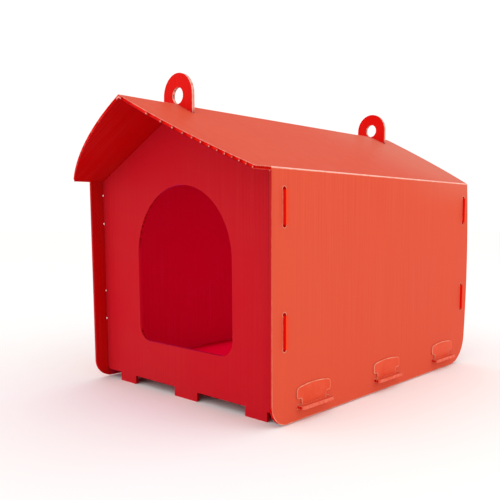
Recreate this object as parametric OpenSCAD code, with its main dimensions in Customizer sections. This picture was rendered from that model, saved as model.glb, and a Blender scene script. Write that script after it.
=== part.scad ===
// Flat-pack animal house of twin-wall plastic sheet.
// One creased sheet makes the shell: two walls and two roof slopes. Two gabled end
// panels stand in it on side tabs and carry the hanging eyes. The floor rests on tabs
// that pass out through the walls, and a lift-out key drops through each of them.
// Axes: +X to the right-hand wall, +Y to the back, +Z up. The origin is on the ground,
// midway between the two walls and midway along the ridge.

/* [Sheet] */
// Thickness of the twin-wall sheet that every panel is cut from
sheet_t = 5; // [3:0.5:8]

/* [House] */
// Width over the outer faces of the two walls
house_w = 450; // [340:5:650]
// Depth of a wall at the eave, from its front edge to its back edge
wall_depth = 592; // [480:2:800]
// Height of the outer eave line above the ground
eave_h = 369; // [290:1:520]
// Rise of the ridge above the eave line
ridge_rise = 111; // [70:1:180]

/* [Roof edges] */
// Reach of the roof past the walls at its front eave corners
eave_overhang = 32; // [10:1:60]
// Further reach of the curved front edge at the ridge
front_arc_rise = 54; // [20:1:90]
// Reach of the curved back edge at the ridge
back_arc_rise = 50; // [20:1:90]

/* [Walls] */
// Height of the walls' bottom edges above the ground
wall_lift = 2; // [0:0.5:8]
// Radius of a wall's bottom corner at the front
wall_front_r = 33; // [10:1:60]
// Radius of a wall's bottom corner at the back
wall_back_r = 55; // [10:1:80]
// Bow of a wall's back edge at half its height
wall_back_bow = 10; // [2:1:20]

/* [End panels] */
// Setback of the front panel behind the walls' front edge
front_setback = 24.5; // [10:0.5:60]
// Setback of the back panel before the walls' back edge
back_setback = 13; // [8:0.5:40]
// Height of the end panels' bottom edge above the ground
panel_lift = 15.5; // [8:0.5:16]
// Radius of the end panels' bottom corners
panel_corner_r = 7; // [2:1:10]

/* [Feet] */
// Width of the middle foot of an end panel
mid_foot_w = 58; // [30:1:90]
// Width of each outer foot of an end panel
side_foot_w = 46; // [20:1:70]
// Distance from a panel's side edge to its outer foot
side_foot_inset = 34; // [15:1:50]
// Sideways shift of all the feet, towards the right-hand wall
foot_shift = 7.5; // [-12:0.5:12]

/* [Doorway] */
// Width of the doorway
door_w = 236; // [160:2:280]
// Height of the doorway's sill above the ground
door_sill = 85; // [40:1:110]
// Height of the doorway from sill to arch top
door_h = 268; // [210:1:290]
// Radius of the doorway's bottom corners
door_corner_r = 27; // [5:1:50]
// Sideways shift of the doorway, towards the right-hand wall
door_shift = 3; // [-20:1:20]

/* [Side tabs] */
// Height of each side tab of an end panel
side_tab_h = 49; // [30:1:70]
// Height of the lower side tab's middle above the ground
low_tab_z = 138; // [80:1:150]
// Drop of the upper side tab's middle below the eave line
high_tab_drop = 54; // [40:1:70]
// Reach of a side tab past the wall's outer face
side_tab_out = 5; // [2:0.5:10]
// Radius by which a slot's round stop holes exceed half its width
stop_hole_extra = 0.6; // [0.2:0.1:1.2]

/* [Hanging eyes] */
// Width of a hanging eye
eye_w = 70; // [50:1:90]
// Diameter of the hole in a hanging eye
eye_hole_d = 26; // [10:1:40]
// Height of the eye hole's middle above the ridge
eye_rise = 13.5; // [8:0.5:30]

/* [Floor] */
// Height of the floor's underside above the ground
floor_lift = 20; // [17:1:40]
// Width of each floor tab
floor_tab_w = 74.5; // [60:0.5:90]
// Reach of a floor tab past the wall's outer face
floor_tab_out = 12; // [9:0.5:20]
// Distance from a wall's edge to the middle of the nearest floor tab
floor_tab_inset = 93; // [80:1:110]
// Radius of a floor tab's outer corners
floor_tab_r = 2.5; // [1:0.5:4]

/* [Lock keys] */
// Thickness of a lock key
key_t = 2; // [1.5:0.1:3]
// Width of a key's head
key_head_w = 80; // [66:1:95]
// Height of a key's head, from shoulder to crown
key_head_h = 20.5; // [15:0.5:30]
// Height of the crown's arch over the head's ends
key_crown = 4; // [2:0.5:7]
// Radius of the head's upper corners
key_corner_r = 7; // [3:0.5:8]
// Width of a key's neck
key_neck_w = 58; // [40:1:60]
// Height of the shoulders over the floor tab's top
key_neck_h = 10; // [5:0.5:20]
// Reach of the key's tip below the floor tab
key_tip = 3; // [1:0.5:6]
// Radius of the shoulders' and the tip's corners
key_small_r = 3; // [1:0.5:4]

/* [Clearances] */
// Clearance on each side where one sheet passes through or meets another
sheet_gap = 0.5; // [0.2:0.1:1.5]
// Clearance on each side of a key
key_gap = 0.35; // [0.2:0.05:0.6]

/* [Hidden] */
$fn = 96;

// Colours of the plastic, one for each kind of sheet piece
WALL_RED = "#e75a43";
ROOF_RED = "#e6654d";
PANEL_RED = "#c31d27";
FLOOR_RED = "#a81418";
KEY_RED = "#ea6a55";

// Overlap of solids that are joined, and reach of cuts past a face
eps = 1;

// The roof's flat pattern: u runs down the slope from the ridge, v from front to back
half_w = house_w / 2;
ridge_h = eave_h + ridge_rise;
pitch_angle = atan2(ridge_rise, half_w);
slope_len = norm([half_w, ridge_rise]);

// Places along Y
front_reach = eave_overhang + front_arc_rise;
wall_front_y = (front_reach - wall_depth - back_arc_rise) / 2;
wall_back_y = wall_front_y + wall_depth;
roof_front_y = wall_front_y - front_reach;
roof_back_y = wall_back_y + back_arc_rise;
front_panel_y = wall_front_y + front_setback;
back_panel_y = wall_back_y - back_setback - sheet_t;

// The shell's inside corner at the eave, where both inner faces meet
inner_x = half_w - sheet_t;
inner_eave_z = ridge_h - sheet_t / cos(pitch_angle) - inner_x * tan(pitch_angle);

// The side edge of the end panels and of the floor, just clear of the wall
edge_x = inner_x - sheet_gap;

// Widths of the slots that a sheet passes through, and of their stop holes
sheet_slot = sheet_t + 2 * sheet_gap;
stop_hole_r = sheet_slot / 2 + stop_hole_extra;
high_tab_z = eave_h - high_tab_drop;

// The floor tabs and their keys, from front to back
tab_pitch = (wall_depth - 2 * floor_tab_inset) / 2;
function tab_y(place) = wall_front_y + floor_tab_inset + place * tab_pitch;
floor_top = floor_lift + sheet_t;
key_x = half_w + key_gap;
key_slit = key_t + 2 * key_gap;
shoulder_z = floor_top + key_neck_h;
crown_z = shoulder_z + key_head_h;

// Radius of the circle whose arc rises by `rise` over half a chord
function arc_r(half_chord, rise) = (half_chord * half_chord + rise * rise) / (2 * rise);

// Carries a flat (x, z) shape along Y
module along_y(y0, y1) {
    translate([0, y1, 0]) rotate([90, 0, 0]) linear_extrude(y1 - y0) children();
}

// Carries a flat (y, z) shape along X
module along_x(x0, x1) {
    translate([x0, 0, 0]) rotate([90, 0, 90]) linear_extrude(x1 - x0) children();
}

// The waste outside a corner's arc, for a corner at the origin of a quarter plane
module corner_waste(r) {
    difference() {
        translate([-eps, -eps]) square(r + eps);
        translate([r, r]) circle(r);
    }
}

// The waste outside a corner of radius r between a circle about the origin and the
// line x = line_x. The corner's own arc touches both.
module arc_corner_waste(circle_r, line_x, r) {
    middle = [line_x - r, sqrt(pow(circle_r - r, 2) - pow(line_x - r, 2))];
    touch_x = middle[0] * circle_r / (circle_r - r);
    difference() {
        translate([touch_x, middle[1]]) square([line_x + eps - touch_x, circle_r]);
        translate(middle) circle(r);
    }
}

// A rectangle from [0, 0] with its four corners rounded
module rounded_rect(w, h, r) {
    translate([r, 0]) square([w - 2 * r, h]);
    translate([0, r]) square([w, h - 2 * r]);
    for (x = [r, w - r], y = [r, h - r]) translate([x, y]) circle(r);
}

// An upright slot for a side tab, ending in round stop holes
module side_slot() {
    straight = side_tab_h + 2 * sheet_gap;
    square([sheet_slot, straight], center = true);
    for (end = [-1, 1]) translate([0, end * straight / 2]) circle(stop_hole_r);
}

// ---- Shell ----

// A wall's outline in (y, z), with its bowed back edge, round corners and slots
module wall_outline() {
    half_h = (eave_h - wall_lift) / 2;
    bow_r = arc_r(half_h, wall_back_bow);
    bow_y = wall_back_y + wall_back_bow - bow_r;
    difference() {
        intersection() {
            translate([wall_front_y, wall_lift])
                square([wall_depth + 2 * wall_back_bow, 2 * half_h + eps]);
            translate([bow_y, wall_lift + half_h]) circle(bow_r, $fn = 720);
        }
        translate([wall_front_y, wall_lift]) corner_waste(wall_front_r);
        translate([bow_y, wall_lift + half_h]) rotate(-90)
            arc_corner_waste(bow_r, half_h, wall_back_r);
        for (y = [front_panel_y, back_panel_y], z = [low_tab_z, high_tab_z])
            translate([y + sheet_t / 2, z]) side_slot();
        for (place = [0:2])
            translate([tab_y(place) - floor_tab_w / 2 - sheet_gap, floor_lift - sheet_gap])
                square([floor_tab_w + 2 * sheet_gap, sheet_slot]);
    }
}

// A wall's section in (x, z), mitred at the eave crease
module wall_section() {
    polygon([[inner_x, 0], [half_w, 0], [half_w, eave_h], [inner_x, inner_eave_z]]);
}

module wall(side) {
    color(WALL_RED) scale([side, 1, 1]) intersection() {
        along_y(wall_front_y - eps, wall_back_y + 2 * wall_back_bow) wall_section();
        along_x(inner_x - eps, half_w + eps) wall_outline();
    }
}

// A slope's outline in (u, v): both ends are arcs that reach furthest at the ridge
module slope_outline() {
    front_r = arc_r(slope_len, front_arc_rise);
    back_r = arc_r(slope_len, back_arc_rise);
    intersection() {
        translate([0, roof_front_y - eps])
            square([slope_len, roof_back_y - roof_front_y + 2 * eps]);
        translate([0, roof_front_y + front_r]) circle(front_r, $fn = 720);
        translate([0, roof_back_y - back_r]) circle(back_r, $fn = 720);
    }
}

// What the mitre takes off a slope's square-cut eave, in (x, z), where a wall hangs from it
module mitre_waste() {
    polygon([[inner_x, inner_eave_z], [half_w, eave_h], [half_w, eave_h - 3 * sheet_t],
             [inner_x, eave_h - 3 * sheet_t]]);
}

module slope(side) {
    color(ROOF_RED) scale([side, 1, 1]) difference() {
        translate([0, 0, ridge_h]) rotate([0, pitch_angle, 0])
            translate([0, 0, -sheet_t]) linear_extrude(sheet_t) slope_outline();
        // The mitre at the ridge
        translate([-2 * sheet_t, roof_front_y - eps, ridge_h - 2 * sheet_t])
            cube([2 * sheet_t, roof_back_y - roof_front_y + 2 * eps, 3 * sheet_t]);
        along_y(wall_front_y, roof_back_y) mitre_waste();
        // The eyes' slots across the ridge
        for (y = [front_panel_y, back_panel_y])
            translate([-eps, y - sheet_gap, ridge_h - ridge_rise])
                cube([eps + eye_w / 2 + sheet_gap, sheet_slot, ridge_rise + eps]);
    }
}

// ---- End panels ----

// A foot's four corners, on the panel's bottom edge and on the ground
function foot(middle, width) = [
    [middle - width / 2, panel_lift], [middle - width / 2, 0],
    [middle + width / 2, 0], [middle + width / 2, panel_lift]];

// The gable runs just under the roof; this is the height of its peak
peak_z = ridge_h - (sheet_t + sheet_gap) / cos(pitch_angle);
eye_middle_z = ridge_h + eye_rise;

// The gabled body and its feet in (x, z)
module panel_body() {
    gable_foot_z = peak_z - edge_x * tan(pitch_angle);
    side_foot_x = edge_x - side_foot_inset - side_foot_w / 2;
    difference() {
        polygon(concat(
            [[-edge_x, panel_lift]],
            foot(foot_shift - side_foot_x, side_foot_w),
            foot(foot_shift, mid_foot_w),
            foot(foot_shift + side_foot_x, side_foot_w),
            [[edge_x, panel_lift], [edge_x, gable_foot_z], [0, peak_z], [-edge_x, gable_foot_z]]));
        for (side = [-1, 1])
            scale([side, 1]) translate([-edge_x, panel_lift]) corner_waste(panel_corner_r);
    }
}

// The four side tabs, from inside the body to past the walls
module panel_tabs() {
    for (side = [-1, 1], z = [low_tab_z, high_tab_z])
        scale([side, 1]) translate([edge_x - eps, z - side_tab_h / 2])
            square([eps + half_w + side_tab_out - edge_x, side_tab_h]);
}

// The hanging eye's round top and straight shank, rooted in the gable
module panel_eye() {
    root_z = peak_z - eye_w / 2 * tan(pitch_angle) - eps;
    translate([0, eye_middle_z]) circle(eye_w / 2);
    translate([-eye_w / 2, root_z]) square([eye_w, eye_middle_z - root_z]);
}

// The doorway: an arch on straight jambs, with rounded bottom corners
module doorway() {
    spring_z = door_sill + door_h - door_w / 2;
    left_x = door_shift - door_w / 2;
    translate([door_shift, spring_z]) circle(door_w / 2);
    translate([left_x, door_sill + door_corner_r])
        square([door_w, spring_z - door_sill - door_corner_r]);
    translate([left_x + door_corner_r, door_sill])
        square([door_w - 2 * door_corner_r, spring_z - door_sill]);
    for (x = [left_x + door_corner_r, left_x + door_w - door_corner_r])
        translate([x, door_sill + door_corner_r]) circle(door_corner_r);
}

// An end panel with its front face at y; a shape among its children is cut out of it
module end_panel(y) {
    color(PANEL_RED) difference() {
        union() {
            along_y(y, y + sheet_t) panel_body();
            along_y(y, y + sheet_t) panel_tabs();
            along_y(y, y + sheet_t) panel_eye();
        }
        along_y(y - eps, y + sheet_t + eps) translate([0, eye_middle_z]) circle(eye_hole_d / 2);
        along_y(y - eps, y + sheet_t + eps) children();
    }
}

// ---- Floor ----

module floor_panel() {
    y0 = front_panel_y + sheet_t + sheet_gap;
    y1 = back_panel_y - sheet_gap;
    color(FLOOR_RED) translate([0, 0, floor_lift]) linear_extrude(sheet_t) difference() {
        union() {
            translate([-edge_x, y0]) square([2 * edge_x, y1 - y0]);
            for (side = [-1, 1], place = [0:2])
                scale([side, 1]) translate([edge_x - 4 * floor_tab_r, tab_y(place) - floor_tab_w / 2])
                    rounded_rect(half_w + floor_tab_out - edge_x + 4 * floor_tab_r,
                                 floor_tab_w, floor_tab_r);
        }
        for (side = [-1, 1], place = [0:2])
            scale([side, 1]) translate([half_w, tab_y(place) - key_neck_w / 2 - key_gap])
                square([key_slit, key_neck_w + 2 * key_gap]);
    }
}

// ---- Lock keys ----

// A key's outline in (y, z), centred on y = 0: arched head, shoulders, neck and tip
module key_outline() {
    crown_r = arc_r(key_head_w / 2, key_crown);
    tip_z = floor_lift - key_tip;
    difference() {
        intersection() {
            translate([-key_head_w / 2, shoulder_z])
                rounded_rect(key_head_w, 2 * key_head_h, key_small_r);
            translate([0, crown_z - crown_r]) circle(crown_r, $fn = 360);
        }
        for (side = [-1, 1])
            scale([side, 1]) translate([0, crown_z - crown_r])
                arc_corner_waste(crown_r, key_head_w / 2, key_corner_r);
    }
    translate([-key_neck_w / 2, tip_z])
        rounded_rect(key_neck_w, shoulder_z - tip_z + 3 * key_small_r, key_small_r);
    for (side = [-1, 1])
        scale([side, 1]) translate([key_neck_w / 2, shoulder_z]) difference() {
            translate([-eps, -key_small_r]) square([eps + key_small_r, key_small_r + eps]);
            translate([key_small_r, -key_small_r]) circle(key_small_r);
        }
}

module lock_key(side, place) {
    color(KEY_RED) scale([side, 1, 1]) translate([0, tab_y(place), 0])
        along_x(key_x, key_x + key_t) key_outline();
}

wall(-1);  // wall_left
wall(1);  // wall_right
slope(-1);  // roof_left
slope(1);  // roof_right
end_panel(front_panel_y) doorway();  // front_panel
end_panel(back_panel_y);  // back_panel
floor_panel();  // floor
lock_key(-1, 0);  // key_left_front
lock_key(-1, 1);  // key_left_middle
lock_key(-1, 2);  // key_left_back
lock_key(1, 0);  // key_right_front
lock_key(1, 1);  // key_right_middle
lock_key(1, 2);  // key_right_back
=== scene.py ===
# %% [markdown]
# # A flat-pack animal house of fluted plastic sheet
#
# This lesson dresses a small red animal house. Every wall of it is twin-wall sheet: two
# thin skins of plastic held apart by hundreds of parallel webs, as corrugated card is,
# with an open channel, a flute, between each pair of webs. The maker cuts each panel
# flat, presses creases where it folds, and locks the corners with tabs, slots and keys.
#
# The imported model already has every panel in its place. What it lacks is what makes the
# sheet look like sheet: hollow flutes behind every cut edge, rounded creases, and the
# faint lines, streaks and pale cut edges of the plastic. We add those here.

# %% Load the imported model
import math

import bmesh
import bpy
import numpy as np
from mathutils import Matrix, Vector


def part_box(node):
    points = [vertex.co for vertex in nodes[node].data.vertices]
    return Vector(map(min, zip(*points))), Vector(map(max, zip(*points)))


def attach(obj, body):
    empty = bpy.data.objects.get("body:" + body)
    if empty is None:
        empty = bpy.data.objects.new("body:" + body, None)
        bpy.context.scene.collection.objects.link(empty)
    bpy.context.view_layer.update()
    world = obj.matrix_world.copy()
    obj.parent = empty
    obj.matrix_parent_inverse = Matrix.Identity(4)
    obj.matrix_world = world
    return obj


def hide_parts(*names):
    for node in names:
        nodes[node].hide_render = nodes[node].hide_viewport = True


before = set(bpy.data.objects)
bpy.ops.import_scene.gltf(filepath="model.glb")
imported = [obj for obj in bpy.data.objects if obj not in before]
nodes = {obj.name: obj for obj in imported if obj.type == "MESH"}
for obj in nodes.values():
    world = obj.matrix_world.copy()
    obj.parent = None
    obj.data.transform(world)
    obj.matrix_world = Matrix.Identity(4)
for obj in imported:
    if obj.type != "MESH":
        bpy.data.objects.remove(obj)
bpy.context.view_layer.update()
print("panels and keys:", sorted(nodes))

# %% [markdown]
# ## Sizes that the panels share
#
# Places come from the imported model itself, so the looks follow it if it changes. Only
# what a solid panel can't tell us is written here: how thick the skins and webs are and
# how far apart the webs stand.

# %% Read the main places
MM = 0.001
FLUTE_PITCH = 4.1 * MM
SKIN = 0.45 * MM
WEB = 0.45 * MM
CREASE_RADIUS = 1.5 * MM
CRUSHED = 7 * MM  # a pressed crease flattens the flutes this far to each side of it
RIM = 0.9 * MM  # the pale rim, bruised by the blade and also a painted highlight, reaches this far from the cut
BACK_CURVE = 14 * MM  # the roof's curved back edge reaches this far in front of the walls' last point
PAST = 5 * MM  # a cutter reaches this far past what it cuts
TOUCHING = 0.02 * MM  # a point this near a face counts as on it
STRAIGHT = 0.999  # the cosine past which a face counts as looking straight out of its sheet
SIDES = ((1, "right"), (-1, "left"))  # the sign of X on each side of the house, and the side's name

wall_low, wall_high = (np.array(c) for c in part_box("wall_right"))
roof_low, roof_high = (np.array(c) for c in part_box("roof_right"))
front_low, front_high = (np.array(c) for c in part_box("front_panel"))
back_low = np.array(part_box("back_panel")[0])

half_width = wall_high[0]
eave_z = wall_high[2]
ridge_z = roof_high[2]
wall_front = wall_low[1]
sheet = wall_high[0] - wall_low[0]
slope_angle = math.atan2(ridge_z - eave_z, half_width)
slope_length = math.hypot(half_width, ridge_z - eave_z)
print(f"sheet {sheet / MM:.1f} mm thick")
print(f"slope {math.degrees(slope_angle):.1f} degrees steep and {slope_length / MM:.0f} mm long")

# %% [markdown]
# ## Meshes from arrays
#
# Three small helpers carry the whole lesson. The first turns arrays of points and faces
# into an object. The second copies a packed panel: its triangles arrive loose, each with
# its own three corners, so we merge the corners that lie on each other before we cut
# into it. The third makes many boxes at once, which is how we describe the flutes.


# %% Helpers for meshes
def object_from(name, points, faces):
    """An object at the origin whose mesh has these points and faces."""
    mesh = bpy.data.meshes.new(name)
    mesh.from_pydata(points, [], faces)
    made = bpy.data.objects.new(name, mesh)
    bpy.context.scene.collection.objects.link(made)
    return made


def panel_surface(node):
    """A packed panel's points and triangles, with the corners that lie on each other made one.

    Each corner is rounded to a thousandth of a millimetre, and equal corners get one index."""
    mesh = nodes[node].data
    corners = np.empty(len(mesh.loops), np.int32)
    mesh.loops.foreach_get("vertex_index", corners)
    points = np.empty(len(mesh.vertices) * 3, np.float32)
    mesh.vertices.foreach_get("co", points)
    steps = np.round(points.reshape(-1, 3) / (0.001 * MM)).astype(np.int64)
    merged, index = np.unique(steps, axis=0, return_inverse=True)
    triangles = index.reshape(-1)[corners].reshape(-1, 3)
    a, b, c = triangles.T
    triangles = triangles[(a != b) & (b != c) & (c != a)]
    return merged * (0.001 * MM), triangles


def boxes(low, high):
    """Points and faces of n boxes, from n lowest and n highest corners.

    A box's corner takes its x, y and z from low or high by the three bits of its number."""
    low, high = np.broadcast_arrays(np.atleast_2d(low), np.atleast_2d(high))
    bits = (np.arange(8)[:, None] >> np.arange(3)) & 1
    points = low[:, None, :] + bits * (high - low)[:, None, :]
    sides = np.array([[0, 2, 3, 1], [4, 5, 7, 6], [0, 1, 5, 4], [2, 6, 7, 3], [0, 4, 6, 2], [1, 3, 7, 5]])
    faces = sides + 8 * np.arange(len(low))[:, None, None]
    return points.reshape(-1, 3), faces.reshape(-1, 4)


# %% [markdown]
# ## Plastic
#
# All the sheet is one red polypropylene. Extrusion leaves its skins with faint streaks
# along the flutes, and each web shows through the skin as a slight line, where the
# plastic shrank as it cooled. We could paint a picture of that onto each panel, but a
# picture blurs close up. A material made of nodes stays sharp, because it works each
# point's colour out from the point's place.
#
# Each material is a small graph of nodes, made with the same few steps, so one helper
# adds a node, sets its values and joins its inputs.


# %% Helpers for material nodes
def new_material(name):
    """An empty node material, with its principled shader and its output joined."""
    made = bpy.data.materials.new(name)
    made.use_nodes = True
    tree = made.node_tree
    tree.nodes.clear()
    shader = tree.nodes.new("ShaderNodeBsdfPrincipled")
    output = tree.nodes.new("ShaderNodeOutputMaterial")
    tree.links.new(shader.outputs["BSDF"], output.inputs["Surface"])
    return made, tree, shader


def add(tree, kind, inputs=None, **settings):
    """A new node of this kind. Each input is a number, a colour or another node's output."""
    made = tree.nodes.new("ShaderNode" + kind)
    for key, value in settings.items():
        setattr(made, key, value)
    for key, value in (inputs or {}).items():
        if isinstance(value, bpy.types.NodeSocket):
            tree.links.new(value, made.inputs[key])
        else:
            made.inputs[key].default_value = value
    return made


def math_node(tree, operation, a, b=0.0):
    """The output of a Math node that works on a and b."""
    return add(tree, "Math", {0: a, 1: b}, operation=operation).outputs[0]


def blend_colours(tree, share, a, b, way="MIX"):
    """The colour a turned towards b by a share, which may be a number or an output."""
    mixed = add(tree, "Mix", data_type="RGBA", blend_type=way)
    for socket, value in zip((mixed.inputs[0], mixed.inputs[6], mixed.inputs[7]), (share, a, b)):
        if isinstance(value, bpy.types.NodeSocket):
            tree.links.new(value, socket)
        else:
            socket.default_value = value
    return mixed.outputs[2]


def noise(tree, place, scale, detail):
    """A smooth random pattern, from 0 to 1 and mostly near a half."""
    inputs = {"Vector": place, "Scale": scale, "Detail": detail, "Roughness": 0.62}
    return add(tree, "TexNoise", inputs).outputs["Fac"]


def ramp(tree, value, zero_at, one_at):
    """A soft step in value, from 0 at zero_at to 1 at one_at. It may run either way."""
    rising = zero_at < one_at
    limits = {"Value": value, "From Min": min(zero_at, one_at), "From Max": max(zero_at, one_at),
              "To Min": 0.0 if rising else 1.0, "To Max": 1.0 if rising else 0.0}
    return add(tree, "MapRange", limits, interpolation_type="SMOOTHSTEP").outputs["Result"]


# %% [markdown]
# The skin's pattern needs to know which way the flutes run. On the shell they run down
# the walls and the roof, so the webs are counted along Y. On the end panels they stand
# upright and on the floor they run front to back, so there the webs are counted along X.


# %% The skin of the sheet
def sheet_skin(name, colour, across, first_web, stretch, gloss, other, where):
    """A sheet's skin.

    across is the axis that counts the webs, first_web is where one of them stands, and stretch
    scales the streaks: large across the flutes and small along them. gloss is the shader's
    specular level. Where the mask that where() makes is 1, the colour is the other one. The bumps'
    height is about a third of the streaks, less the web lines, and a little of the grain."""
    made, tree, shader = new_material(name)
    shader.inputs["Specular IOR Level"].default_value = gloss
    place = add(tree, "TexCoord").outputs["Object"]
    split = add(tree, "SeparateXYZ", {"Vector": place})
    from_first = math_node(tree, "SUBTRACT", split.outputs[across], first_web)
    counted = math_node(tree, "DIVIDE", from_first, FLUTE_PITCH)
    from_web = math_node(tree, "PINGPONG", counted, 0.5)  # 0 on a web, 0.5 midway between two
    line = ramp(tree, from_web, 0.22, 0.05)
    drawn = add(tree, "Mapping", {"Vector": place, "Scale": stretch}).outputs["Vector"]
    streaks = noise(tree, drawn, 1.0, 3.0)
    clouds = noise(tree, place, 5.0, 2.0)  # about 200 mm across
    scuffs = noise(tree, place, 60.0, 5.0)  # about 17 mm across
    grain = noise(tree, place, 900.0, 2.0)  # about 1 mm across

    base = blend_colours(tree, where(tree, split), (*colour, 1.0), (*other, 1.0))
    deeper = blend_colours(tree, 1.0, base, (0.95, 0.84, 0.84, 1.0), "MULTIPLY")
    paler = blend_colours(tree, 0.025, base, (1.0, 0.55, 0.45, 1.0))
    tone = blend_colours(tree, ramp(tree, streaks, 0.25, 0.75), deeper, paler)
    tone = blend_colours(tree, ramp(tree, clouds, 0.2, 0.8), tone, base)
    tone = blend_colours(tree, math_node(tree, "MULTIPLY", line, 0.3), tone, deeper)
    tree.links.new(tone, shader.inputs["Base Color"])

    rough = math_node(tree, "ADD", math_node(tree, "MULTIPLY", scuffs, 0.18), 0.36)
    rough = math_node(tree, "ADD", rough, math_node(tree, "MULTIPLY", streaks, 0.06))
    tree.links.new(rough, shader.inputs["Roughness"])
    height = math_node(tree, "SUBTRACT", math_node(tree, "MULTIPLY", streaks, 0.35), line)
    height = math_node(tree, "ADD", height, math_node(tree, "MULTIPLY", grain, 0.12))
    bump = add(tree, "Bump", {"Strength": 0.3, "Distance": 0.08 * MM, "Height": height})
    tree.links.new(bump.outputs["Normal"], shader.inputs["Normal"])
    return made


# %% [markdown]
# The same sheet looks different from place to place, and we paint that light and shade into its colour.
# Where a panel stands free, as its eye and tabs do, daylight comes through and it glows a clear red: a
# painted glow. Inside the house the light has been through red plastic already, so the inside is painted a
# deeper shade, and the roof is painted paler towards its back, a painted sheen.
# A mask, a number from 0 to 1 worked out from the point's place, picks each of those.


# %% Masks for where the sheet is
def above_roof(tree, split):
    """1 on a panel's eye, falling to 0 from 6 to 22 mm below the ridge."""
    return ramp(tree, split.outputs["Z"], ridge_z - 22 * MM, ridge_z - 6 * MM)


def outside_walls(tree, split):
    """1 outside the walls, falling to 0 over the first millimetre of the wall."""
    across = math_node(tree, "ABSOLUTE", split.outputs["X"])
    return ramp(tree, across, half_width - 1 * MM, half_width)


def clear_of_house(tree, split):
    """1 above the roof or outside the walls: the larger of the two masks above."""
    return math_node(tree, "MAXIMUM", above_roof(tree, split), outside_walls(tree, split))


def behind_front(tree, split):
    """1 inside the house, behind the front panel, falling to 0 over the panel's last millimetre."""
    return ramp(tree, split.outputs["Y"], front_high[1] - 1 * MM, front_high[1])


def towards_back(tree, split):
    """Grows to 1 from the middle of the house to the roof's back, and fades out down the walls' top."""
    along = ramp(tree, split.outputs["Y"], 0.0, roof_high[1] - 30 * MM)
    up = ramp(tree, split.outputs["Z"], eave_z - 60 * MM, eave_z + 30 * MM)
    return math_node(tree, "MULTIPLY", along, up)


# %% [markdown]
# Four skins need six reds, all of them painted light and shade on one plastic. The shell's outside is
# painted the orange red it shows in full light, and its lining is painted deep, a painted shade, because
# the light that reaches it has come through the sheet. The end panels are painted a darker red, the
# painted shade of the roof's overhang.

# %% The four skins
# These reds are painted light and shade on one plastic: the shell's outside in full light, a painted sheen
# towards the roof's back, painted shade on the lining and inside the house, the painted shade of the
# overhang on the end panels, and a painted glow where daylight comes through the eye and tabs.
SHELL_LIT_RED = (0.665, 0.087, 0.043)
BACK_SHEEN_RED = (0.655, 0.150, 0.096)
LINING_SHADE_RED = (0.50, 0.0002, 0.0016)
INSIDE_SHADE_RED = (0.46, 0.0002, 0.0170)
PANEL_SHADE_RED = (0.555, 0.0060, 0.0155)
BACKLIT_GLOW_RED = (0.78, 0.0025, 0.0004)
ACROSS_Y = (4.0, 420.0, 4.0)  # streaks about 2 mm wide in Y and 250 mm long
ACROSS_X = (420.0, 4.0, 4.0)  # the same for flutes that lie side by side in X

shell_skin = sheet_skin("shell_skin", SHELL_LIT_RED, "Y", wall_front, ACROSS_Y, 0.015, BACK_SHEEN_RED, towards_back)
shell_lining = sheet_skin("shell_lining", LINING_SHADE_RED, "Y", wall_front, ACROSS_Y, 0.0, INSIDE_SHADE_RED,
                          behind_front)
panel_skin = sheet_skin("end_panel_skin", PANEL_SHADE_RED, "X", 0.0, ACROSS_X, 0.03, BACKLIT_GLOW_RED, clear_of_house)
# The floor's inside is painted the shade of the inside, and its tabs outside the walls the lit red of the
# shell.
floor_skin = sheet_skin("floor_skin", INSIDE_SHADE_RED, "X", 0.0, ACROSS_X, 0.0, SHELL_LIT_RED, clear_of_house)
print("skins:", shell_skin.name, shell_lining.name, panel_skin.name, floor_skin.name)

# %% [markdown]
# A blade bruises the plastic as it cuts, so a cut edge is paler and rougher than the skin; its colour also
# carries painted light and shade, paler where it faces the light and deeper where it is shaded. A pressed
# crease is painted pale along its rounded outer skin, a painted highlight.
# Inside the flutes there is no wear at all. The skins there are so thin that daylight
# soaks through them, so the insides glow a little: a small emission stands for that.


# %% Plastic that a tool has marked
SOAKED_RED = (1.0, 0.004, 0.0, 1.0)


def worn_plastic(name, colour, pale, scale, gloss=0.06, roughness=0.5, glow=0.0, change=None):
    """Plastic with patches of a paler colour, as a tool leaves it, and with a fine rough grain.

    scale is about how many patches fit in a metre, and glow is the strength of the light that
    soaks through. change is a function that works on the colour before the shader gets it."""
    made, tree, shader = new_material(name)
    shader.inputs["Specular IOR Level"].default_value = gloss
    place = add(tree, "TexCoord").outputs["Object"]
    patches = ramp(tree, noise(tree, place, scale, 4.0), 0.35, 0.65)
    grain = noise(tree, place, 1600.0, 2.0)
    tone = blend_colours(tree, patches, (*colour, 1.0), (*pale, 1.0))
    if change is not None:
        tone = change(tree, add(tree, "SeparateXYZ", {"Vector": place}), tone)
    tree.links.new(tone, shader.inputs["Base Color"])
    rough = math_node(tree, "ADD", math_node(tree, "MULTIPLY", grain, 0.2), roughness - 0.1)
    tree.links.new(rough, shader.inputs["Roughness"])
    if glow:
        shader.inputs["Emission Color"].default_value = SOAKED_RED
        shader.inputs["Emission Strength"].default_value = glow
    bump = add(tree, "Bump", {"Strength": 0.4, "Distance": 0.06 * MM, "Height": grain})
    tree.links.new(bump.outputs["Normal"], shader.inputs["Normal"])
    return made


# %% [markdown]
# On the shell, the blade came from outside and bruised the outer skin's edge pale; that pale edge is also
# a painted highlight, where it catches the light from above. The inner skin's edge is painted dark, a
# painted shade. How deep a point lies under the outer face tells the two apart: it is the smaller of its
# depths under the wall's plane and under the slope's plane.


# %% How a cut edge changes from place to place
WEB_RED = (0.66, 0.018, 0.007, 1.0)
WALL_EDGE_RED = (0.52, 0.008, 0.010, 1.0)
# A painted shade: the dark red of the shell's inner skin where a cut shows it.
INNER_SKIN_SHADE = (0.12, 0.0, 0.012, 1.0)
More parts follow.
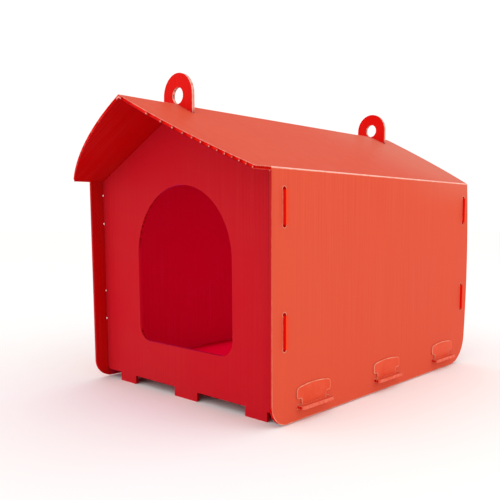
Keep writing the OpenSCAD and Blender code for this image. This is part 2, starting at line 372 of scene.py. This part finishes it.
# A painted shade for a panel's cut edge inside the house; the eye's pale cut edge is a painted highlight.
INSIDE_EDGE_SHADE_RED = (0.42, 0.003, 0.006, 1.0)
TAB_END_ORANGE = (0.80, 0.055, 0.014, 1.0)
DAYLIT_FLUTE = (0.90, 0.50, 0.42, 1.0)


def shell_edge_tone(tree, split, tone):
    """The shell's cut edge: a painted shade at the inner skin, and deep red on the walls and in a web's
    upper half.

    The left slope's edge is deep red too."""
    across = math_node(tree, "ABSOLUTE", split.outputs["X"])
    past_wall = math_node(tree, "SUBTRACT", across, half_width)
    from_ridge = math_node(tree, "SUBTRACT", split.outputs["Z"], ridge_z)
    past_slope = math_node(tree, "ADD", math_node(tree, "MULTIPLY", across, math.sin(slope_angle)),
                           math_node(tree, "MULTIPLY", from_ridge, math.cos(slope_angle)))
    depth = math_node(tree, "MULTIPLY", math_node(tree, "MAXIMUM", past_wall, past_slope), -1.0)
    under_skin = ramp(tree, depth, SKIN, 1.6 * SKIN)
    web_top = math_node(tree, "MULTIPLY", under_skin, ramp(tree, depth, 0.55 * sheet, 0.35 * sheet))
    on_left = ramp(tree, split.outputs["X"], -15 * MM, -70 * MM)
    on_wall = ramp(tree, split.outputs["Z"], eave_z - 4 * MM, eave_z - 7 * MM)
    # The inner skin's edge gets a painted shade.
    at_inner_skin = ramp(tree, depth, sheet - 1.5 * SKIN, sheet - SKIN)
    tone = blend_colours(tree, math_node(tree, "MAXIMUM", web_top, on_left), tone, WEB_RED)
    tone = blend_colours(tree, on_wall, tone, WALL_EDGE_RED)
    return blend_colours(tree, at_inner_skin, tone, INNER_SKIN_SHADE)


def panel_edge_tone(tree, split, tone):
    """Paints light and shade into a panel's cut edge: pale on its eye, a painted highlight; orange on a
    tab's end, in daylight; and deep red elsewhere, a painted shade inside the house.
    """
    low = blend_colours(tree, outside_walls(tree, split), INSIDE_EDGE_SHADE_RED, TAB_END_ORANGE)
    return blend_colours(tree, above_roof(tree, split), low, tone)


def panel_flute_tone(tree, split, tone):
    """A panel's flutes are painted deep red inside the house, a painted shade, and pale in the eye, a
    painted daylight that fills them.
    """
    return blend_colours(tree, above_roof(tree, split), tone, DAYLIT_FLUTE)


# %% [markdown]
# The same function makes all of these plastics. What tells them apart is their two
# reds, which lie in patches, and how fine those patches are.

# %% Cut edges, creases and the flutes' insides
# The pale of a shell or end panel cut edge is partly the blade's bruise and partly a painted highlight.
shell_edge = worn_plastic("shell_cut_edge", (0.72, 0.12, 0.08), (0.84, 0.34, 0.28), 180.0,
                          change=shell_edge_tone)
panel_edge = worn_plastic("end_panel_cut_edge", (0.82, 0.20, 0.13), (0.90, 0.55, 0.46), 140.0,
                          change=panel_edge_tone)
floor_edge = worn_plastic("floor_cut_edge", (0.72, 0.10, 0.05), (0.78, 0.17, 0.11), 140.0)
# A painted highlight along each rounded crease.
crease_highlight_line = worn_plastic("crease_highlight_line", (0.86, 0.40, 0.34), (0.92, 0.56, 0.50), 60.0)
# The pale rim along a cut: partly the blade's bruise, partly a painted highlight.
rim_bruise_and_highlight = worn_plastic("rim_bruise_and_highlight", (0.76, 0.20, 0.12), (0.82, 0.36, 0.25), 90.0)
flute_inside = worn_plastic("flute_inside", (0.58, 0.003, 0.002), (0.68, 0.010, 0.003), 90.0,
                            gloss=0.05, glow=0.14)
panel_flute = worn_plastic("end_panel_flute_inside", (0.40, 0.002, 0.004), (0.48, 0.004, 0.006), 90.0,
                           gloss=0.05, change=panel_flute_tone)
worn = (shell_edge, panel_edge, floor_edge, crease_highlight_line, rim_bruise_and_highlight, flute_inside, panel_flute)
print("worn plastics:", [material.name for material in worn])

# %% [markdown]
# ## Cutting into a panel
#
# A Boolean takes one solid out of another. We could leave it live on the panel, but its
# result then hides from the steps after it, so we keep the mesh it makes and drop the
# cutter. Faces that the cutter leaves behind take the cutter's own material, which is
# how a flute's inside gets a different red from the skin.


# %% Helpers for cutting
def turn_outwards(solid):
    """Flips a closed mesh whose faces look inwards, as a mirrored one's do.

    Its volume, the sum of a . (b x c) / 6 over its triangles a, b, c, is then negative."""
    mesh = solid.data
    mesh.calc_loop_triangles()
    corners = np.empty(len(mesh.loop_triangles) * 3, np.int32)
    mesh.loop_triangles.foreach_get("vertices", corners)
    points = np.empty(len(mesh.vertices) * 3, np.float32)
    mesh.vertices.foreach_get("co", points)
    a, b, c = points.reshape(-1, 3).astype(float)[corners.reshape(-1, 3)].transpose(1, 0, 2)
    if (a * np.cross(b, c)).sum() < 0:
        mesh.flip_normals()


def carve(piece, cutter):
    """Cuts the cutter's solid out of the piece, and removes the cutter."""
    turn_outwards(cutter)
    cut = piece.modifiers.new("cut", "BOOLEAN")
    cut.operation, cut.solver, cut.object, cut.material_mode = "DIFFERENCE", "EXACT", cutter, "TRANSFER"
    made = bpy.data.meshes.new_from_object(piece.evaluated_get(bpy.context.evaluated_depsgraph_get()))
    piece.modifiers.clear()
    piece.data = made
    bpy.data.objects.remove(cutter)


def flute_cutter(low, high, inside, carry=None):
    """A cutter made of one long box for each flute. carry moves the boxes' points into place."""
    points, faces = boxes(low, high)
    if carry is not None:
        points = carry(points)
    cutter = object_from("flutes", points, faces)
    cutter.data.materials.append(inside)
    return cutter


# %% [markdown]
# Every face of a carved panel now needs its plastic. We could pick faces by hand in the
# viewport, but there are thousands. Where a face lies tells what it is: on the sheet's
# outer or inner face it is skin or lining, and anywhere between them it is a cut edge.
# The pale rim beside a cut, bruised by the blade and also a painted highlight, is a strip of the skin's
# own faces, split off by an inset.


# %% The rim along a cut
def face_values(mesh, what, kind, width=1):
    """One value, or width of them, for each face of a mesh, as an array."""
    values = np.empty(len(mesh.polygons) * width, kind)
    mesh.polygons.foreach_get(what, values)
    return values if width == 1 else values.reshape(-1, width)


def split_off_pale_rim(piece, bruised, rim, width):
    """Splits a strip of this width off the faces in the skin's slot, given as bruised, along their border.

    The strip gets the rim's plastic, pale from the blade's bruise and a painted highlight too. It lies in
    the skin, so the shape stays as it was."""
    piece.data.materials.append(rim)
    work = bmesh.new()
    work.from_mesh(piece.data)
    region = [face for face in work.faces if face.material_index == bruised]
    strip = bmesh.ops.inset_region(work, faces=region, thickness=width, use_even_offset=False)
    for face in strip["faces"]:
        face.material_index = len(piece.data.materials) - 1
    work.to_mesh(piece.data)
    work.free()
    return len(strip["faces"])


# %% A plastic for each face
def paint(piece, skin, edge, depth_of, lining=None, rim=None):
    """Gives each face its plastic, by how deep its middle lies in the sheet and which way it looks.

    depth_of gives a point's depth under the outer face. A face at depth 0 that looks straight out
    is skin, one a sheet deep is lining, and the others are cut edges, unless a cutter left its own
    plastic there. Skins stay flat; cut edges and creases follow curves, so they are smooth."""
    mesh = piece.data
    names = [material.name if material else "" for material in mesh.materials]
    index = face_values(mesh, "material_index", np.int32)
    normals = face_values(mesh, "normal", np.float32, 3)
    centres = face_values(mesh, "center", np.float32, 3).astype(float)
    depth = depth_of(centres)
    straight = np.abs(depth_of(centres + normals * MM) - depth) > STRAIGHT * MM
    slots = [edge, skin]
    painted = np.where(straight & (np.abs(depth) < TOUCHING), 1, 0)
    if lining is not None:
        painted[straight & (np.abs(depth - sheet) < TOUCHING)] = len(slots)
        slots.append(lining)
    for material in (crease_highlight_line, flute_inside, panel_flute):
        if material.name in names:
            painted[index == names.index(material.name)] = len(slots)
            slots.append(material)
    mesh.materials.clear()
    for material in slots:
        mesh.materials.append(material)
    mesh.polygons.foreach_set("material_index", painted.astype(np.int32))
    mesh.set_sharp_from_angle(angle=math.radians(25))
    curved = [slots.index(material) for material in (edge, crease_highlight_line) if material in slots]
    mesh.polygons.foreach_set("use_smooth", np.isin(painted, curved))
    mesh.update()
    counted = np.bincount(painted, minlength=len(slots)).tolist()
    counts = dict(zip([material.name for material in slots], counted))
    if rim is not None:
        counts[rim.name] = split_off_pale_rim(piece, slots.index(skin), rim, RIM)
    return counts


# %% How deep a point lies
def shell_depth(points):
    """How deep points lie under the shell's outer faces: the wall's, or the slope's if that is less.

    A point is past the slope's plane by |x| sin a + (z - ridge) cos a, with a the slope's angle."""
    across = np.abs(points[:, 0])
    past_slope = across * math.sin(slope_angle) + (points[:, 2] - ridge_z) * math.cos(slope_angle)
    return -np.maximum(across - half_width, past_slope)


def flat_depth(axis, low, high):
    """A function for how deep points lie in a flat sheet between low and high on an axis.

    It is the distance to the nearer face, so both faces count as 0."""
    return lambda points: np.minimum(high - points[:, axis], points[:, axis] - low)


# %% [markdown]
# ## The shell
#
# Walls and roof are one sheet, creased at the ridge and at both eaves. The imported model
# holds it as four panels that meet in mitres, inside the creases, where nobody sees
# them. We could join them first, but panels that stay solids of their own cut more
# cleanly. We take three things away: the sharp corner along each crease, the flutes
# that run down both walls, and the flutes of the roof that come out at its open edges.


# %% Copy the four panels
shell = {node: object_from(node + "_sheet", *panel_surface(node))
         for node in ("roof_right", "roof_left", "wall_right", "wall_left")}
print("shell panels:", {node: len(piece.data.polygons) for node, piece in shell.items()})


# %% [markdown]
# A folded sheet has no sharp corner. Its outer skin stretches round a small radius, and we paint it pale
# there, a painted highlight along the fold. A Bevel would round every other edge of the panel too, so we
# cut the corner off with a strip whose inner side is the crease's arc.


# %% Round the creases
def crease_waste(corner, normal_a, normal_b, radius, y0, y1, steps=4):
    """The strip outside a rounded crease that runs along Y.

    Its profile goes round the crease's arc, from the face with normal_a to the face with
    normal_b, and back outside the corner. The profile is then carried from y0 to y1. The arc's
    middle is the corner, moved inwards until it is a radius from both faces."""
    a, b, corner = (np.array(v, float) for v in (normal_a, normal_b, corner))
    middle = corner - radius * (a + b) / (1 + a @ b)
    turn = np.linspace(math.atan2(a[1], a[0]), math.atan2(b[1], b[0]), steps + 1)
    arc = middle + radius * np.column_stack([np.cos(turn), np.sin(turn)])
    outside = [arc[-1] + radius * b, corner + radius * (a + b), arc[0] + radius * a]
    profile = np.vstack([arc, outside])
    count = len(profile)
    ring = np.arange(count)
    points = np.vstack([np.insert(profile, 1, y, axis=1) for y in (y0, y1)])
    following = (ring + 1) % count
    sides = np.column_stack([ring, ring + count, following + count, following]).tolist()
    return points, [*sides, ring.tolist(), (ring[::-1] + count).tolist()]


def round_crease(sharing, *where):
    """Cuts a crease's sharp corner off both panels that share it, and leaves the crease line, painted pale
    as a highlight.
    """
    for node in sharing:
        cutter = object_from("crease", *crease_waste(*where))
        cutter.data.materials.append(crease_highlight_line)
        carve(shell[node], cutter)


to_roof = (math.sin(slope_angle), math.cos(slope_angle))
for side, name in SIDES:
    round_crease(("roof_" + name, "wall_" + name), (side * half_width, eave_z), (side, 0.0),
                 (side * to_roof[0], to_roof[1]), CREASE_RADIUS, wall_front, wall_high[1] + PAST)
round_crease(("roof_right", "roof_left"), (0.0, ridge_z), to_roof, (-to_roof[0], to_roof[1]),
             CREASE_RADIUS, roof_low[1] - PAST, roof_high[1] + PAST)
print("with rounded creases:", {node: len(piece.data.polygons) for node, piece in shell.items()})

# %% [markdown]
# A flute is a long box between two webs. On a wall it starts below the bottom edge, so
# that it comes out there, and stops where the crease has crushed it. The first web
# stands on the walls' front edge, so that edge is closed. We could cut one flute and
# repeat it with an Array modifier, but one cutter with all of them cuts in one go.


# %% Cut the flutes of the walls
def flute_middles(first, start, stop):
    """The flute middles from start to stop, counted in whole pitches from first."""
    low = math.ceil((start - first) / FLUTE_PITCH)
    high = math.floor((stop - first) / FLUTE_PITCH)
    return first + FLUTE_PITCH * np.arange(low, high + 1)


half_flute = (FLUTE_PITCH - WEB) / 2
first_flute = wall_front + FLUTE_PITCH / 2
wall_flutes = flute_middles(first_flute, wall_front, wall_high[1] - half_flute)
for side, name in SIDES:
    ends = sorted((side * (half_width - sheet + SKIN), side * (half_width - SKIN)))
    low = np.column_stack([np.full_like(wall_flutes, ends[0]), wall_flutes - half_flute,
                           np.full_like(wall_flutes, -PAST)])
    high = np.column_stack([np.full_like(wall_flutes, ends[1]), wall_flutes + half_flute,
                            np.full_like(wall_flutes, eave_z - CRUSHED)])
    carve(shell["wall_" + name], flute_cutter(low, high, flute_inside))
print("flutes in each wall:", len(wall_flutes))

# %% [markdown]
# On the roof only the flutes that meet an open edge are worth cutting: those of the
# front overhang, of the curved back, and the few that the hanging eyes' slots cut
# through. Their boxes are laid out flat first, measured down the slope and out of it,
# and then carried onto the slope, because a box is easiest to describe lying straight.


# %% Cut the flutes of the roof
def onto_slope(side):
    """A function that carries points onto the slope.

    A point's x is how far down the slope it lies from the ridge, and its z how far out of it."""
    down = np.array([side * math.cos(slope_angle), 0.0, -math.sin(slope_angle)])
    out = np.array([side * to_roof[0], 0.0, to_roof[1]])
    axes = np.vstack([down, [0.0, 1.0, 0.0], out])
    return lambda points: points @ axes + [0.0, 0.0, ridge_z]


roof_flutes = flute_middles(first_flute, roof_low[1] - half_flute, roof_high[1] + half_flute)
overhang = roof_flutes < wall_front - half_flute
behind = roof_flutes > wall_high[1] - BACK_CURVE
eyes_at = np.array([front_low[1], back_low[1]]) + sheet / 2
by_eye = (np.abs(roof_flutes[:, None] - eyes_at) < sheet).any(axis=1)
roof_cut = roof_flutes[overhang | behind | by_eye]
reach = np.where(roof_cut < wall_front - half_flute, slope_length + PAST, slope_length - CRUSHED)
for side, name in SIDES:
    low = np.column_stack([np.full_like(roof_cut, CRUSHED), roof_cut - half_flute,
                           np.full_like(roof_cut, SKIN - sheet)])
    high = np.column_stack([reach, roof_cut + half_flute, np.full_like(roof_cut, -SKIN)])
    carve(shell["roof_" + name], flute_cutter(low, high, flute_inside, onto_slope(side)))
print("flutes in each slope:", len(roof_cut))

# %% [markdown]
# The shell is cut now, so each of its faces can have its plastic. Painting comes last,
# because every cut makes new faces.

# %% Paint the shell
for node, piece in shell.items():
    print(node, paint(piece, shell_skin, shell_edge, shell_depth, shell_lining, rim_bruise_and_highlight))

# %% [markdown]
# ## The end panels and the floor
#
# These are single flat sheets, so their flutes are plain rows of boxes. One box runs
# right through an end panel from below its feet to above its eye. Where the doorway, a
# slot or a foot interrupts the sheet, the Boolean leaves open flute ends by itself.


# %% Cut the flutes of the flat panels
def fluted_panel(node, name, along, skin, edge, inside, rim=None):
    """A flat panel with flutes along one axis, 1 for Y or 2 for Z, counted across X from X = 0.

    A flute that would open the panel's side edge is left out: the cut has crushed it shut."""
    piece = object_from(name, *panel_surface(node))
    low, high = (np.array(c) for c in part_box(node))
    middles = flute_middles(FLUTE_PITCH / 2, low[0] + half_flute + WEB, high[0] - half_flute - WEB)
    thin = 3 - along
    starts = np.tile(low, (len(middles), 1))
    stops = np.tile(high, (len(middles), 1))
    starts[:, 0], stops[:, 0] = middles - half_flute, middles + half_flute
    starts[:, along] -= PAST
    stops[:, along] += PAST
    starts[:, thin] += SKIN
    stops[:, thin] -= SKIN
    carve(piece, flute_cutter(starts, stops, inside))
    counts = paint(piece, skin, edge, flat_depth(thin, low[thin], high[thin]), rim=rim)
    print(name, "has", len(middles), "flutes;", counts)
    return piece


front_panel = fluted_panel("front_panel", "front_end_panel", 2, panel_skin, panel_edge, panel_flute)
back_panel = fluted_panel("back_panel", "back_end_panel", 2, panel_skin, panel_edge, panel_flute)
floor_panel = fluted_panel("floor", "floor_sheet_panel", 1, floor_skin, floor_edge, flute_inside,
                           rim_bruise_and_highlight)

# %% [markdown]
# ## The lock keys
#
# Each key is a thin solid plate that drops through a floor tab, outside the wall. The blade bruised its
# rim pale, as it did the sheet's, and the pale rim is also a painted highlight; its edges are slightly
# round from handling and catch the light. A Bevel modifier rounds all the sharp edges at once.

# %% Make the keys
KEY_ROUNDING = 0.35 * MM
key_plastic = worn_plastic("key_plastic", (0.70, 0.074, 0.030), (0.72, 0.090, 0.040), 35.0,
                           gloss=0.05, roughness=0.42)
keys = {}
for node in sorted(n for n in nodes if n.startswith("key_")):
    key = object_from(node + "_plate", *panel_surface(node))
    low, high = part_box(node)
    paint(key, key_plastic, rim_bruise_and_highlight, flat_depth(0, low[0], high[0]), rim=rim_bruise_and_highlight)
    soften = key.modifiers.new("soft edges", "BEVEL")
    soften.width, soften.segments = KEY_ROUNDING, 2
    soften.limit_method, soften.angle_limit = "ANGLE", math.radians(40)
    keys[node] = key
print("keys:", len(keys))

# %% [markdown]
# ## Who moves with whom
#
# The shell, the end panels and the floor hold each other fast, so all of them ride on the house. Each key
# rides on its own body and lifts straight up. Every piece stands for one packed panel.

# %% Ride on the bodies
def dress(piece, node, body):
    """The piece rides on the body, and stands for the node, which it hides."""
    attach(piece, body)
    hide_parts(node)


for node, piece in shell.items():
    dress(piece, node, "house")
dress(front_panel, "front_panel", "house")
dress(back_panel, "back_panel", "house")
dress(floor_panel, "floor", "house")
for node, key in keys.items():
    dress(key, node, node)

# %% [markdown]
# ## Studio
#
# The studio's floor is a pale disc, so wide that its edge lies close to the horizon. It
# is a stage and not part of the house. It has no gloss, so it doesn't mirror the house.

# %% Floor
FLOOR_RADIUS, FLOOR_SIDES = 14.0, 96
turn = np.arange(FLOOR_SIDES) * 2 * math.pi / FLOOR_SIDES
rim = FLOOR_RADIUS * np.column_stack([np.cos(turn), np.sin(turn), np.zeros(FLOOR_SIDES)])
stage_floor = object_from("studio_floor", rim, [list(range(FLOOR_SIDES))])
pale, tree, shader = new_material("pale_floor")
soft = noise(tree, add(tree, "TexCoord").outputs["Object"], 1.5, 2.0)
white = blend_colours(tree, soft, (0.95, 0.95, 0.95, 1.0), (0.97, 0.97, 0.97, 1.0))
tree.links.new(white, shader.inputs["Base Color"])
shader.inputs["Roughness"].default_value = 0.8
shader.inputs["Specular IOR Level"].default_value = 0.0
stage_floor.data.materials.append(pale)
print("studio floor:", 2 * FLOOR_RADIUS, "m across")

# %% [markdown]
# A soft white surround lights the house from every side. One large, slightly warm lamp
# stands to the right and above, and gives the right wall and the roof their sheen. A
# weaker one stands in front, because the roof's overhang shades the front panel. The
# thin walls let light soak through to the inside. Making the plastic see-through would
# be slow and grainy, so two faint lamps just inside the walls stand for that light.

# %% Light
world = bpy.data.worlds.new("soft_white")
bpy.context.scene.world = world
world.use_nodes = True
world.node_tree.nodes["Background"].inputs["Color"].default_value = (1.0, 0.99, 0.98, 1.0)
world.node_tree.nodes["Background"].inputs["Strength"].default_value = 1.05


def soft_lamp(name, place, target, size, power, colour, height=None):
    """A square lamp at a place, turned to face the target. With a height it is a rectangle."""
    data = bpy.data.lights.new(name, "AREA")
    data.size, data.energy, data.color = size, power, colour
    if height is not None:
        data.shape, data.size_y = "RECTANGLE", height
    lamp = bpy.data.objects.new(name, data)
    lamp.location = place
    lamp.rotation_euler = (Vector(target) - Vector(place)).to_track_quat("-Z", "Y").to_euler()
    bpy.context.scene.collection.objects.link(lamp)
    return lamp


SOAKED_LIGHT = (1.0, 0.05, 1.0)
soft_lamp("key_lamp", (2.2, 0.3, 1.5), (0.0, 0.0, 0.25), 1.8, 12.0, (1.0, 0.95, 0.88))
soft_lamp("front_fill", (-0.7, -2.2, 0.35), (0.0, -0.25, 0.35), 1.2, 3.6, (1.0, 0.96, 0.95))
for side, name in SIDES:
    inside_wall = (side * (half_width - 15 * MM), 0.02, 0.20)
    soaked = soft_lamp("soaked_" + name, inside_wall, (-side, 0.02, 0.20), 0.5, 0.95, SOAKED_LIGHT, 0.28)
    soaked.visible_camera = False
bpy.context.scene.view_settings.view_transform = "Standard"

# %% [markdown]
# The camera stands low, in front of the right-hand corner, and looks slightly down at
# the house. We could turn it until the house sits well in the frame, but that changes
# the perspective. A small shift of the lens moves the picture and nothing else.

# %% Camera
camera_data = bpy.data.cameras.new("camera")
camera_data.sensor_width, camera_data.lens = 36.0, 45.35
camera_data.shift_x, camera_data.shift_y = -0.0648, 0.0764
camera = bpy.data.objects.new("camera", camera_data)
azimuth, elevation = math.radians(41.64), math.radians(6.34)
level = math.cos(elevation)
looking = Vector((-math.sin(azimuth) * level, math.cos(azimuth) * level, -math.sin(elevation)))
camera.location = (0.8091, -0.9125, 0.2995)
camera.rotation_euler = looking.to_track_quat("-Z", "Y").to_euler()
camera_data.clip_start, camera_data.clip_end = 0.01, 60.0
bpy.context.scene.collection.objects.link(camera)
bpy.context.scene.camera = camera
print(f"camera {camera.location.z:.3f} m above the floor, lens {camera_data.lens} mm")
